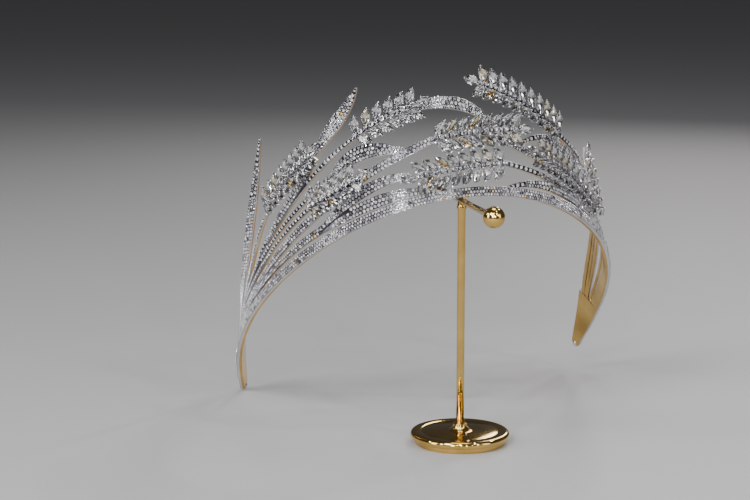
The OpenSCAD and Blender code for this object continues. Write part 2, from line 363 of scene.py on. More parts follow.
def metal(name, light, dark, roughness, spread, painted_shade=False, scratch=0.3):
    """Principled metal: colour goes from dark to light by the cloud, and to nearly black, a painted
    shade, where the mesh's own shade value is 1."""
    material, tree, surface = principled(name, {"Metallic": 1.0})
    link = tree.links.new
    marks = new_node(tree, "Group", {"Roughness": roughness, "Spread": spread, "Scratch": scratch},
                     node_tree=handling)
    tint = new_node(tree, "Mix", {6: (*dark, 1), 7: (*light, 1)}, data_type="RGBA")
    ramp = new_node(tree, "MapRange", {"From Min": 0.3, "From Max": 0.7})
    link(marks.outputs["Cloud"], ramp.inputs["Value"])
    link(ramp.outputs[0], tint.inputs[0])
    colour = tint.outputs[2]
    # Painted shade: the colour goes towards nearly black where the mesh's shade value is 1
    if painted_shade:
        low = new_node(tree, "Attribute", attribute_name="painted_shade")
        deep = new_node(tree, "Mix", {7: (*PAINTED_SHADE_COLOUR, 1)}, data_type="RGBA")
        link(low.outputs["Fac"], deep.inputs[0])
        link(colour, deep.inputs[6])
        colour = deep.outputs[2]
    link(colour, surface.inputs["Base Color"])
    link(marks.outputs["Roughness"], surface.inputs["Roughness"])
    bump = new_node(tree, "Bump", {"Strength": 0.3, "Distance": 0.00005})
    link(marks.outputs["Height"], bump.inputs["Height"])
    link(bump.outputs[0], surface.inputs["Normal"])
    return material


# The silver wears the painted shade in its stone channel
silver = metal("rhodium_silver", (0.84, 0.83, 0.86), (0.66, 0.65, 0.69), 0.2, 0.12, painted_shade=True)
gold_back = metal("gold_toned_back", (0.80, 0.53, 0.17), (0.52, 0.32, 0.09), 0.17, 0.12)
brass = metal("polished_brass", (0.82, 0.56, 0.18), (0.60, 0.38, 0.10), 0.1, 0.1, scratch=0.5)
print("metals:", silver.name, gold_back.name, brass.name)

# %% [markdown]
# ## Stones
# The stones are clear crystal. A cut stone looks bright and dark by turns because each facet
# bends the light another way, so the cut is real geometry and the glass itself is plain. Each
# stone also carries a number of its own, from 0 to 1, that adds painted light. It tints a few of
# them warm, a painted glint, and it sets how bright the backing of a small stone is, which
# paints some stones as sparkling and some as shaded.

# %% Crystal
GLASS = {"Transmission Weight": 1.0, "Roughness": 0.0}
FOIL = {"Metallic": 0.5, "Roughness": 0.15}
WHITE, PAINTED_AMBER_GLINT = (1.0, 1.0, 1.0), (1.0, 0.9, 0.62)


def by_stone(name, values, stops):
    """Material whose colour is read from each stone's own number, through a ramp with no
    blending between its stops."""
    material, tree, surface = principled(name, values)
    number = new_node(tree, "Attribute", attribute_name="stone")
    ramp = new_node(tree, "ValToRGB")
    ramp.color_ramp.interpolation = "CONSTANT"
    while len(ramp.color_ramp.elements) < len(stops):
        ramp.color_ramp.elements.new(1.0)
    for element, (place, colour) in zip(ramp.color_ramp.elements, stops):
        element.position, element.color = place, (*colour, 1)
    tree.links.new(number.outputs["Fac"], ramp.inputs[0])
    tree.links.new(ramp.outputs[0], surface.inputs["Base Color"])
    return material


# A few stones are tinted warm by their number, a painted warm glint: amber on the small stones,
# pale champagne on the long ones
small_crystal = by_stone("small_crystal", {**GLASS, "IOR": 1.6}, [(0.0, WHITE), (0.985, PAINTED_AMBER_GLINT)])
long_crystal = by_stone("long_crystal", {**GLASS, "IOR": 1.72}, [
    (0.0, WHITE), (0.5, (0.96, 0.96, 0.97)), (0.88, (1.0, 0.94, 0.78))])
# Painted sparkle and shade: the backing runs from white through greys to nearly black by each
# stone's number, and its last stop is a painted amber glint
foil = by_stone("foil_with_painted_sparkle", FOIL, [
    (0.0, WHITE), (0.38, (0.76, 0.74, 0.79)), (0.72, (0.42, 0.41, 0.44)),
    (0.95, (0.18, 0.18, 0.20)), (0.99, (1.0, 0.78, 0.40))])
print("stones:", small_crystal.name, long_crystal.name, foil.name)

# %% [markdown]
# ## The drawing of the jewel
# Each line is a strip of metal: four places that it runs through, then its width at the root,
# its swell in the middle and its width at the tip, counted in rows of stones, its layer, and how
# far its face is turned towards the viewer at the tip, in degrees. Strips that cross lie in
# different layers, as the soldered strips of a real jewel do. A leaf is a strip that swells, and
# a stem is one that hardly does. An ear is only its middle line.

# %% Strips
ROW_W, METAL_T, LAYER = 1.4, 1.3, 0.17
Strip = namedtuple("Strip", "line root swell tip layer turn")
STRIPS = [Strip(*row) for row in (
    ([[-0.925, 0.097], [-0.76, 0.13], [-0.575, 0.15], [-0.39, 0.148]], 1, 0, 2, 1, 0),
    ([[-0.41, 0.15], [-0.285, 0.142], [-0.17, 0.128], [-0.06, 0.065]], 2, 1.7, 0.5, 0, 0),
    ([[-0.93, 0.13], [-0.65, 0.218], [-0.36, 0.33], [-0.07, 0.474]], 1.2, 0.5, 1.9, 0, 0),
    ([[-0.415, 0.15], [-0.33, 0.235], [-0.245, 0.27], [-0.15, 0.255]], 0.8, 1.8, 1.4, 2, 0),
    ([[-0.935, 0.158], [-0.775, 0.25], [-0.61, 0.335], [-0.445, 0.39]], 1, 0, 1, 1, 0),
    ([[-0.93, 0.18], [-0.745, 0.325], [-0.56, 0.437], [-0.375, 0.5]], 1, 0, 1, 0, 0),
    ([[-0.93, 0.198], [-0.74, 0.352], [-0.53, 0.555], [-0.305, 0.71]], 1, 0, 1, 1, 0),
    ([[-0.93, 0.213], [-0.805, 0.375], [-0.735, 0.58], [-0.651, 0.75]], 1, 0, 1, 0, 0),
    ([[-0.955, 0.2], [-0.866, 0.65], [-0.804, 1.12], [-0.777, 1.6]], 1.3, 2, 0.5, 5, 48),
    ([[-0.68, 0.43], [-0.59, 0.525], [-0.51, 0.615], [-0.44, 0.75]], 1, 1, 1.4, 2, 0),
    ([[-0.445, 0.78], [-0.392, 0.87], [-0.338, 0.965], [-0.298, 1.08]], 1, 2.6, 0.3, 1, 0),
    ([[-0.385, 0.47], [-0.325, 0.565], [-0.24, 0.535], [-0.14, 0.42]], 1, 3.1, 0.5, 1, 0),
    ([[-0.11, 0.75], [-0.03, 0.74], [0.05, 0.68], [0.11, 0.55]], 2.2, 1.7, 0.6, 0, 0),
    ([[0.26, 0.35], [0.18, 0.41], [0.115, 0.435], [0.04, 0.41]], 1.6, 0.5, 0.5, 0, 0),
    ([[0.72, 0.36], [0.55, 0.465], [0.375, 0.56], [0.205, 0.44]], 1, 2.2, 0.6, 1, 0),
    ([[0.925, 0.103], [0.66, 0.12], [0.39, 0.185], [0.134, 0.262]], 1, 0.4, 1.3, 0, 0),
    ([[0.62, 0.115], [0.45, 0.14], [0.275, 0.145], [0.12, 0.05]], 1, 1.9, 0.5, 1, 0),
    ([[0.93, 0.13], [0.79, 0.19], [0.655, 0.205], [0.52, 0.22]], 1, 0, 1, 1, 0),
    ([[0.93, 0.189], [0.855, 0.35], [0.785, 0.43], [0.715, 0.5]], 1, 0, 1, 1, 0),
    ([[0.925, 0.219], [0.83, 0.46], [0.62, 0.6], [0.376, 0.667]], 1.2, 0.3, 1.3, 0, 0),
    ([[0.93, 0.163], [0.855, 0.27], [0.785, 0.33], [0.705, 0.37]], 1, 0, 1, 0, 0),
)]
PLATE_LINE = [[1, 0.035], [0.967, 0.07], [0.933, 0.115], [0.9, 0.165]]
PLATES = [Strip([[side * share, height] for share, height in PLATE_LINE], 2.4, 0, 8.6, 0, 0)
          for side in (-1, 1)]
EARS = {
    "a": [[-0.651, 0.75], [-0.581, 0.763], [-0.516, 0.775], [-0.458, 0.802]],
    "b": [[-0.31, 0.71], [-0.245, 0.74], [-0.182, 0.755], [-0.12, 0.77]],
    "c": [[-0.075, 0.475], [0.01, 0.487], [0.1, 0.508], [0.185, 0.54]],
    "d": [[0.138, 0.262], [0.05, 0.238], [-0.035, 0.222], [-0.12, 0.22]],
    "e": [[0.376, 0.667], [0.291, 0.735], [0.188, 0.807], [0.084, 0.875]],
    "f": [[0.52, 0.22], [0.42, 0.285], [0.335, 0.34], [0.255, 0.385]],
    "g": [[-0.455, 0.395], [-0.4, 0.38], [-0.35, 0.38], [-0.3, 0.39]],
    "h": [[0.715, 0.5], [0.7, 0.64], [0.685, 0.78], [0.67, 0.92]],
}
print(len(STRIPS), "strips,", len(PLATES), "plates and", len(EARS), "ears")

# %% [markdown]
# ## Channel strips
# A strip isn't a flat ribbon. Its edges are rounded by wear and polishing, and its front is a
# shallow channel with a lip at each side that the stones are set between. So one outline of
# the cross section is carried along the line, and only its width changes on the way.

# %% Cross section carried along a line
LIP, CHANNEL, FULL_LIP_W = 0.13, 0.45, 1.3
# Left half of the outline: inset from the edge, share of the thickness, and how much more
LEFT_HALF = np.array([(0.12, 0, 0), (0, 0, 0.12), (0, 0.5, 0), (0, 1, -0.1), (0.07, 1, 0),
                      (0.95 * LIP, 1, -0.02), (1.25 * LIP, 1, -CHANNEL)])
# Painted shade: how dark each point of the whole outline is, and which of its edges are gold-toned
PAINTED_SHADE_ACROSS = np.array([0, 0, 0, 0.2, 0.5, 0.75, 0.95, 1, 0.95, 0.75, 0.5, 0.2, 0, 0, 0])
GOLD_EDGES = np.array([0, 1, 12, 13, 14])


def channel_outline(width, thick):
    """Cross sections (R, 15, 2) as (across, height): flat back with rounded corners, upright sides
    in two parts, a lip at each side and the channel floor between. Lips shrink on narrow strips,
    and the right half mirrors the left."""
    inset, share, more = LEFT_HALF.T
    across = inset * np.minimum(1.0, width / FULL_LIP_W)[:, None] - width[:, None] / 2
    left = np.stack([across, np.tile(share * thick + more, (len(width), 1))], -1)
    floor = np.tile([0.0, thick - CHANNEL + 0.01], (len(width), 1, 1))
    return np.concatenate([left, floor, left[:, ::-1] * [-1, 1]], 1)


def facing(place, direction, turn):
    """Direction that a strip's front faces: out of the wall, turned round the strip's own line."""
    wall, turn = outward(place), np.radians(turn)[..., None]
    return wall * np.cos(turn) - unit(np.cross(wall, direction)) * np.sin(turn)


def strip_surface(place, direction, width, turn, out, thick):
    """Carries the outline along: centre + across * side + height * front. The gold-toned faces,
    the back and the lower half of each side, come as an array of their own."""
    normal = facing(place, direction, turn)
    side = unit(np.cross(normal, direction))
    outline = channel_outline(width, thick)
    rings = (spot(place, out)[:, None] + outline[..., :1] * side[:, None]
             + outline[..., 1:] * normal[:, None])
    points, (quads, ends) = skin(hung(rings))
    gold = np.isin(np.arange(len(quads)) % outline.shape[1], GOLD_EDGES)
    return points, quads[~gold], quads[gold], ends


print("outline of a strip:", channel_outline(np.array([ROW_W]), METAL_T).shape[1], "points")

# %% [markdown]
# The line of a strip is cut into steps of about a millimetre, so that its bends look smooth.
# The strips of one kind become one piece, because on the real jewel they are soldered together.

# %% Stems, leaves and the plates where they meet
SECTION_STEP, PLATE_OUT, PLATE_PROUD = 1.1, -0.25, 0.12


def strip_at(strip, t):
    """Places, directions, widths and turns at numbers t along a strip. Width: from root to tip,
    plus the swell times a half sine wave. Turn: the whole turn times a quarter sine wave."""
    width = strip.root * (1 - t) + strip.tip * t + strip.swell * np.sin(np.pi * t)
    return (through(strip.line, t), along(strip.line, t), ROW_W * width,
            strip.turn * np.sin(np.pi / 2 * t))


def layered(strips):
    """Each strip with the height of its back over the wall, by its layer, and its thickness."""
    return [(strip, strip.layer * LAYER, METAL_T) for strip in strips]


def strips_piece(name, raised):
    """One piece from several strips, each given with its back's height and its thickness."""
    made = []
    for strip, out, thick in raised:
        steps = max(8, int(round(chords(strip.line) / SECTION_STEP)))
        made.append(strip_surface(*strip_at(strip, np.linspace(0, 1, steps + 1)), out, thick))
    start = np.cumsum([0] + [len(m[0]) for m in made])
    points = np.concatenate([m[0] for m in made])
    faces = [np.concatenate([m[k] + s for m, s in zip(made, start)]) for k in (1, 2, 3)]
    # The points carry the painted shade of the channel as a value of their own
    piece = make_piece(name, points, faces, [silver, gold_back], sharp=38, slots=[0, 1, 0],
                       layers={"painted_shade": np.tile(PAINTED_SHADE_ACROSS, len(points) // len(PAINTED_SHADE_ACROSS))})
    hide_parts("frame")


plates = [(plate, PLATE_OUT, BAND_T - PLATE_OUT + PLATE_PROUD) for plate in PLATES]
strips_piece("stems", layered([s for s in STRIPS if s.swell < 1]))
strips_piece("leaves", layered([s for s in STRIPS if s.swell >= 1]))
strips_piece("leg_plates", plates)

# %% [markdown]
# ## Head band
# The band is the same kind of strip, three rows of stones wide, and each end is finished by a
# small ball so that it can't catch in the hair. A ball is a half circle turned about an axis, as
# on a lathe, and its poles are closed by very small faces.

# %% Band and balls
BAND_BACK = -0.1
POLE = 0.12


def lathe(profile, around):
    """Surface of revolution about Z from (radius, height) pairs, closed at both ends:
    x = radius * cos(b), y = radius * sin(b), z = height."""
    r, z = np.asarray(profile, float).T[..., None]
    b = np.linspace(0, 2 * np.pi, around, endpoint=False)
    return skin(np.stack([r * np.cos(b), r * np.sin(b), z + 0 * b], -1))


def ball(centre, diameter):
    """Half circle of radius sin(a) at height cos(a), turned about Z."""
    a = np.linspace(POLE, np.pi - POLE, 12)
    points, faces = lathe(np.column_stack([np.sin(a), np.cos(a)]) * diameter / 2, 24)
    return points + centre, faces


def band_at(share):
    """Places, directions, widths and turns along the middle of the band, share from -1 to 1. The
    direction is taken from two places close together, which stop at the ends."""
    place, ahead, behind = (
        np.stack([np.clip(share + nudge, -1, 1), np.full_like(share, BAND_PLACE)], -1)
        for nudge in (0, 0.001, -0.001))
    return (place, unit(spot(ahead, 0) - spot(behind, 0)), np.full_like(share, BAND_W),
            np.zeros_like(share))


share = np.linspace(-1, 1, int(2 * WRAP * BASE_R / SECTION_STEP))
points, front, back, caps = strip_surface(*band_at(share), BAND_BACK, BAND_T - BAND_BACK)
ball_points, ball_faces = joined([ball(hung(centre), BALL_D) for centre in ends])
# The band's points carry the painted shade of the channel too, and the balls carry none
head_band = make_piece(
    "head_band", np.concatenate([points, ball_points]),
    [front, back, caps] + [f + len(points) for f in ball_faces], [silver, gold_back], sharp=38,
    slots=[0, 1, 0] + [0] * len(ball_faces),
    layers={"painted_shade": np.append(np.tile(PAINTED_SHADE_ACROSS, len(share)), np.zeros(len(ball_points)))})
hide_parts("frame")

# %% [markdown]
# ## Where the long stones of an ear sit
# An ear of wheat is a spine with pairs of pointed stones that spread to both sides and lift a
# little, and one more stone at its tip. Each stone has a frame of its own: the middle of its
# keel, the direction of its outer point and the direction that its table faces. One shape can
# then be copied to all the frames at once.

# %% Stone frames
STONE_L, STONE_W, PAVILION, CROWN = 6.8, 3.3, 1.1, 0.75
PITCH, FIRST_PAIR, SPLAY, LIFT = 3.9, 0.35, np.radians(48), np.radians(10)
SEAT_GAP, SEAT_T, SEAT_W, ROOT_OFFSET = 0.12, 0.9, 1.1, 0.8
KEEL_OUT = METAL_T + 2 * LAYER + SEAT_GAP


def pair_count(four):
    """Pairs of stones on an ear: its length over the pitch, rounded."""
    return max(2, int(round(chords(four) / PITCH)))


def ear_frames(four):
    """Keel centres, long directions and table normals (N, 3) of one ear: pairs at even steps along
    the axis, turned by the splay to either side, and the tip stone straight on."""
    pairs = pair_count(four)
    t = np.append(np.repeat((np.arange(pairs) + FIRST_PAIR) / pairs, 2), 1.0)
    hand = np.append(np.tile([-1.0, 1.0], pairs), 0.0)[:, None]
    place = through(four, t)
    normal, forward = outward(place), along(four, t)
    cross = np.cross(normal, forward)
    flat = np.where(hand == 0, forward, forward * np.cos(SPLAY) + cross * hand * np.sin(SPLAY))
    root = spot(place, KEEL_OUT) + cross * hand * ROOT_OFFSET
    long = flat * np.cos(LIFT) + normal * np.sin(LIFT)
    return root + long * STONE_L / 2, long, unit(normal * np.cos(LIFT) - flat * np.sin(LIFT))


def copies_piece(name, shape, frames, materials, sharp, slots=None, numbers=None):
    """One piece with a copy of a shape (points, faces) on every frame: centre + x * long
    + y * across + z * normal. The points are (P, 3), or (N, P, 3) where the copies differ.
    numbers gives each copy a value of its own, which its points carry as stone."""
    points, faces = shape
    centre, long, normal = frames
    axes = np.stack([long, np.cross(normal, long), normal], 1)
    count, size = len(centre), points.shape[-2]
    points = np.broadcast_to(points, (count, size, 3))
    points = hung(np.einsum("npk,nkj->npj", points, axes) + centre[:, None]).reshape(-1, 3)
    start = (np.arange(count) * size)[:, None, None]
    faces = [(f[None] + start).reshape(-1, f.shape[1]) for f in faces]
    layers = {} if numbers is None else {"stone": np.repeat(numbers, size)}
    return make_piece(name, points, faces, materials, sharp, layers, slots)


frames = {name: ear_frames(four) for name, four in EARS.items()}
all_frames = [np.concatenate([ear[k] for ear in frames.values()]) for k in range(3)]
print("long stones:", {name: len(ear[0]) for name, ear in frames.items()})

# %% [markdown]
# ## Long stones
# A marquise, or navette, is a boat-shaped stone. From the top it has a table, a ring of star
# facets, a ring of main facets down to the girdle, a thin upright girdle, and below it two
# steps of facets down to the keel. Flat shading keeps each facet a clean mirror.

# %% Marquise cut
MARQUISE = [(0.16, 0.02, 0), (0.66, PAVILION * 0.5, 1), (1, PAVILION - 0.03, 0),
            (1, PAVILION + 0.05, 0), (0.8, PAVILION + CROWN * 0.55, 1), (0.56, PAVILION + CROWN, 0)]


def boat(count, size, z):
    """Pointed oval: x = cos(a), y = sin(a) |sin(a)|^0.6, scaled to the stone's length and width."""
    a = np.arange(count) * 2 * np.pi / count
    s = np.sin(a)
    return np.stack([STONE_L / 2 * np.cos(a) * size, STONE_W / 2 * s * np.abs(s) ** 0.6 * size,
                     np.full(count, z)], -1)


def marquise(n=12):
    """Rings of the boat outline from the keel up to the table, with two triangles for each step
    from a ring to the next. Two rings are turned by half a step, so that triangles and kites lie
    between them as on a real cut."""
    k = np.arange(n)
    faces = []
    for level, (_, _, turned) in enumerate(MARQUISE[1:]):
        a, b = level * n + k, level * n + (k + 1) % n
        c, d = b + n, a + n
        corners = ((a, b, d), (b, c, d)) if turned else ((a, b, c), (a, c, d))
        faces += [np.stack(three, -1) for three in corners]
    points = np.concatenate([boat(2 * n, size, z)[turned::2] for size, z, turned in MARQUISE])
    return points, [np.concatenate(faces), np.stack([k[::-1], k + len(points) - n])]


long_stone = marquise()
print("one long stone:", sum(len(f) for f in long_stone[1]), "facets, volume",
      round(enclosed_volume(*long_stone), 2), "mm3")

# %% Set the ears
luck = np.random.default_rng(11)
for name, ear in frames.items():
    stones = copies_piece(f"ear_{name}_crystals", long_stone, ear, [long_crystal], sharp=0,
                          numbers=luck.random(len(ear[0])))
    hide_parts(f"ear_{name}_stones")

# %% [markdown]
# ## Spines, arms and baskets
# Down the middle of each ear runs a plain spine. From it an arm reaches under every stone, and a
# wire basket with four claws holds the stone. The claws are short tapered tubes that lean over
# the girdle, and a wire is a small square section carried round the boat outline. Some arms
# are gold-toned, and they shine through their stones.

# %% Spine and arms
strips_piece("ear_spines", layered([Strip(four, 1.1, 0.2, 1, 2, 0) for four in EARS.values()]))


def arm():
    """Three-sided bar that tapers from the spine to the middle of the stone. Its lower edge is
    level, and its top edges rise to the stone's keel."""
    return skin(np.array([
        [[x, -width / 2, top], [x, width / 2, top], [x, 0, -SEAT_GAP - SEAT_T]]
        for x, width, top in ((-STONE_L / 2 - 0.4, SEAT_W, -SEAT_GAP - SEAT_T / 3),
                              (STONE_L * 0.22, SEAT_W / 2, -SEAT_GAP))]))


# %% Basket wire and claws
BASKET = ((0.80, 0.42), (0.93, 0.46), (0.95, 0.70), (0.84, 0.68))
CLAW = np.array([(-0.45, 0.25, 0.16), (0.02, 0.8, 0.17), (0.16, 1.15, 0.2), (0.10, 1.32, 0.24),
                 (-0.16, 1.42, 0.2), (-0.3, 1.4, 0.08)])
ACROSS_CLAWS, WARM_SHARE = (0.31, 0.2, 0.93), 0.12


def tube(path, radius, around=5):
    """Thin tube: at each point of the path a ring cos(b) * side + sin(b) * up, across the path's
    direction. The sides are worked out from a fixed direction that no claw runs along."""
    forward = unit(np.gradient(path, axis=0))
    side = unit(np.cross(forward, ACROSS_CLAWS))
    up = np.cross(side, forward)
    b = np.linspace(0, 2 * np.pi, around, endpoint=False)[None, :, None]
    return skin(path[:, None] + radius[:, None, None] * (
        np.cos(b) * side[:, None] + np.sin(b) * up[:, None]))


def basket():
    """Square wire round the pavilion: the boat outline at four sizes and heights, closed into a
    ring."""
    outline = boat(20, 1, 0)
    rings = np.stack([outline * [size, size, 0] + [0, 0, z] for size, z in BASKET], 1)
    count, around = rings.shape[:2]
    points, faces = rings.reshape(-1, 3), [quads_between(count, around, count)]
    return points, faces if enclosed_volume(points, faces) > 0 else flipped(faces)


def claw(x, y):
    """Tube from the basket's foot up past the girdle and over it, with a rounded head. CLAW gives
    its reach outwards from (x, y), its height and its radius."""
    reach, height, radius = CLAW.T
    foot = np.array([x, y])
    lean = foot / np.hypot(x, y)
    return tube(np.column_stack([foot + reach[:, None] * lean, height]), radius)


tip, flank = STONE_L / 2 * 0.97, STONE_W / 2
claws = joined([basket(), claw(tip, 0), claw(-tip, 0), claw(0, flank), claw(0, -flank)])
warm = luck.random(len(all_frames[0])) < WARM_SHARE
for name, shape, worn, chosen in (("ear_settings", claws, silver, np.ones_like(warm)),
                                  ("ear_arms", arm(), silver, ~warm),
                                  ("ear_arms_gold", arm(), gold_back, warm)):
    settings = copies_piece(name, shape, [part[chosen] for part in all_frames], [worn], sharp=50)
    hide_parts("frame")

# %% [markdown]
# ## Small stones
# The strips are set with small round stones, in as many rows as their width allows. First the
# places are worked out: even steps along each strip, and at each step as many stones side by
# side as fit. A single row has its stones further apart. A place is dropped where another strip
# crosses in front of it, or where a long stone stands over it, because nothing can be set there.

# %% Where a strip has room for stones
GEM_D, GEM_GAP, GEM_ROOM = 1.18, 1.15, 1.06
ROW_SIZE, LONE_SIZE, LONE_GAP = 0.92, 0.86, 1.6
SMALLEST, LARGEST, MOST_ROWS = 0.5, 1.3, 12
FINE = np.linspace(0, 1, 400)


def rows_across(width):
    """How many stones fit side by side, and their size as a share of GEM_D, for each width."""
    room = width - 1.1 * LIP
    rows = np.clip(np.round(room / (GEM_D * GEM_ROOM)), 1, MOST_ROWS).astype(int)
    size = np.clip(room / rows / GEM_D, SMALLEST, LARGEST)
    return room, rows, size * np.where(rows == 1, LONE_SIZE, ROW_SIZE)


def evenly(place, width):
    """Numbers t along a line, so far apart that each stone clears the next: the steps are counted
    up in stones, and a stone stands wherever the count passes a half. The places and widths
    are those at FINE."""
    length = np.append(0, np.linalg.norm(np.diff(spot(place, 1.5), axis=0), axis=1).cumsum())
    _, rows, size = rows_across(width)
    step = GEM_D * size * np.where(rows == 1, LONE_GAP, GEM_GAP)
    count = np.append(0, (np.diff(length) / step[1:]).cumsum())
    whole = max(1, int(count[-1]))
    return np.interp((np.arange(whole) + 0.5) / whole * count[-1], count, FINE)


def gem_places(place, direction, width, turn, out, thick):
    """Centres, directions, normals and sizes of the stones, row by row across each place, and which
    stand alone. Every other row is set half a stone ahead, so the rows close up like bricks."""
    room, rows, size = rows_across(width)
    index = np.repeat(np.arange(len(place)), rows)
    slot = np.arange(len(index)) - np.repeat(np.cumsum(rows) - rows, rows)
    across = (slot - (rows[index] - 1) / 2) * (room / rows)[index]
    normal, forward = facing(place, direction, turn)[index], direction[index]
    side = unit(np.cross(normal, forward))
    ahead = (slot % 2 - 0.5) * 0.5 * GEM_D * GEM_GAP * size[index] * (rows[index] > 1)
    centre = (spot(place, out)[index] + normal * thick + side * across[:, None]
              + forward * ahead[:, None])
    return centre, forward, normal, size[index], rows[index] == 1


print("rows on the band:", rows_across(np.array([BAND_W]))[1][0])

# %% Every strip as a front surface
fronts = layered(STRIPS) + plates
gems, tops = [], []
for strip, out, thick in fronts:
    place, _, width, _ = strip_at(strip, FINE)
    gems.append(gem_places(*strip_at(strip, evenly(place, width)), out, thick))
    tops.append(out + thick)
place, _, width, _ = band_at(2 * FINE - 1)
t = evenly(place, width)[1:-1]
gems.append(gem_places(*band_at(2 * t - 1), BAND_BACK, BAND_T - BAND_BACK))
tops.append(BAND_T)

centre, forward, normal, size, lone = (np.concatenate([g[k] for g in gems]) for k in range(5))
counts = [len(g[0]) for g in gems]
tops, owner = np.repeat(tops, counts), np.repeat(np.arange(len(gems)), counts)
print("places for small stones:", len(centre))

# %% Drop the covered places
CLEAR_OF_STRIP, CLEAR_OF_STONE, CLEAR_OF_SPINE = GEM_D * 0.42, 1.35, 1.0
BODY_L, BODY_UP, GEM_UP = STONE_L * 0.8, PAVILION * 0.7, 0.25


def distance(points, others):
    """Distance of every point to every other point, (N, M)."""
    return np.linalg.norm(points[:, None] - others[None], axis=2)


def covered(centre, tops, owner):
    """True where a strip with a higher front lies over the place, by its centre line and half
    width."""
    hidden = np.zeros(len(centre), bool)
    for number, (strip, out, thick) in enumerate(fronts):
        top = out + thick
        place, _, width, _ = strip_at(strip, np.linspace(0, 1, 240))
        near = (distance(centre, spot(place, top)) < width / 2 + CLEAR_OF_STRIP).any(1)
        hidden |= (top > tops + 0.01) & (owner != number) & near
    return hidden


def under_ears(centre, normal):
    """True within reach of a long stone: distance to the middle line of its body."""
    keel, long, table = all_frames
    run = long * BODY_L
    gap = (centre + normal * GEM_UP)[:, None] - (keel - run / 2 + table * BODY_UP)[None]
    share = np.clip(np.einsum("ijk,jk->ij", gap, run) / BODY_L ** 2, 0, 1)
    return (np.linalg.norm(gap - share[..., None] * run, axis=2) < CLEAR_OF_STONE).any(1)


def on_spine(centre):
    """True on the spine of an ear, which is hidden under the long stones."""
    t = np.linspace(0, 1, 60)
    middle = np.concatenate([spot(through(four, t), METAL_T) for four in EARS.values()])
    return (distance(centre, middle) < CLEAR_OF_SPINE).any(1)


keep = ~(covered(centre, tops, owner) | under_ears(centre, normal) | on_spine(centre))
pave = [value[keep] for value in (centre, forward, normal, size, lone)]
print("small stones set:", keep.sum())

# %% [markdown]
# One small stone is a round brilliant with the facet count cut down to what can be seen: an
# eight-sided table, sixteen crown facets and eight pavilion facets. Each is turned by a random
# angle and tipped by a few degrees, which is why a real pavement of stones twinkles. The crown
# is clear glass, and the pavilion under it wears the backing, painted bright or dark stone by
# stone as painted sparkle and shade.

# %% Round brilliant
GEM_TABLE, GEM_CROWN, GEM_PAVILION = 0.29, 0.24, 0.42


def brilliant():
    """Rings of eight: culet, girdle and table, with the girdle turned half a step to the table.
    The pavilion, the crown and the table are three arrays of faces."""
    k, after = np.arange(8), np.arange(1, 9) % 8
    a, b = k * np.pi / 4, (k + 0.5) * np.pi / 4
    girdle = np.stack([np.cos(b), np.sin(b), 0 * b], -1) * GEM_D / 2
    table = np.stack([np.cos(a), np.sin(a), 0 * a], -1) * GEM_D * GEM_TABLE + [0, 0, GEM_CROWN]
    g, g1, t, t1 = 1 + k, 1 + after, 9 + k, 9 + after
    crown = np.concatenate([np.stack([g, t1, t], -1), np.stack([g, g1, t1], -1)])
    return (np.concatenate([[[0, 0, -GEM_PAVILION]], girdle, table]),
            [np.stack([0 * k, g1, g], -1), crown, t[None]])


def set_gems(name, centre, forward, normal, size, spread, dimmest_painted_backing):
    """One piece of many brilliants, each turned by chance and tipped by about spread degrees.
    Their numbers run from 0 to the dimmest value given, and a low number means a backing painted
    bright, a high one a backing painted dark: painted sparkle and shade."""
    count = len(centre)
    turn = luck.uniform(0, 2 * np.pi, count)[:, None]
    side = np.cross(normal, forward)
    tip = luck.normal(0, np.radians(spread), (count, 2))
    tipped = unit(normal + tip[:, :1] * forward + tip[:, 1:] * side)
    long = unit(np.cross(tipped, forward * np.cos(turn) + side * np.sin(turn)))
    sized = (gem_points * size[:, None, None], gem_faces)
    piece = copies_piece(name, sized, (centre, long, tipped), [small_crystal, foil], sharp=0,
                         slots=[1, 0, 0], numbers=luck.random(count) * dimmest_painted_backing)


gem_points, gem_faces = brilliant()
centre, forward, normal, size, lone = pave
# Stones in a single row get only the brighter painted backings
set_gems("small_crystals", centre + normal * 0.1, forward, normal, size, spread=7.0,
         dimmest_painted_backing=np.where(lone, 0.5, 1.0))
print("facets of one small stone:", sum(len(f) for f in gem_faces))

# %% [markdown]
# Round stones also fill the middle of each ear, a large one between every two pairs of long
# stones and a small one between the roots of each pair. A small cup under each, narrow at its
# foot, joins it to the spine.

# %% Round stones along the ears
LARGE, SMALL = 1.78, 1.2
LARGE_RISE, SMALL_RISE, FIRST_RISE = 1.45, 1.6, 0.5
CUP = [(0.4, 0.0), (0.42, 0.6), (0.62, 0.9), (0.66, 1.05), (0.56, 1.06), (0.5, 0.95)]
LARGE_CUP, SMALL_CUP = 1.55, 0.95

cups = []
for name, four in EARS.items():
    pairs = pair_count(four)
    step = np.arange(-1, 2 * pairs)
    t = (step / 2 + FIRST_PAIR) / pairs
    large, first = (step % 2 == 1) & (step > 0), step < 0
    place = through(four, np.maximum(t, 0))
    rise = KEEL_OUT + np.where(large, LARGE_RISE, np.where(first, FIRST_RISE, SMALL_RISE))
    normal, forward = outward(place), along(four, t)
    # The round stones of the ears get only the brighter painted backings
    set_gems(f"ear_{name}_middle", spot(place, 0) + normal * rise[:, None], forward, normal,
             np.where(large, LARGE, SMALL), spread=4.0, dimmest_painted_backing=0.55)
    cups.append((spot(place, 0) + normal * METAL_T, forward, normal, rise - METAL_T, large))

cup_points, cup_faces = lathe(CUP, 8)
base, forward, normal, tall, large = (np.concatenate([c[k] for c in cups]) for k in range(5))
wide = np.where(large, LARGE_CUP, SMALL_CUP)
scaled = cup_points * np.stack([wide, wide, tall], -1)[:, None]
ear_cups = copies_piece("ear_cups", (scaled, cup_faces), (base, forward, normal), [silver],
                        sharp=50)
print("round stones along the ears:", len(base))

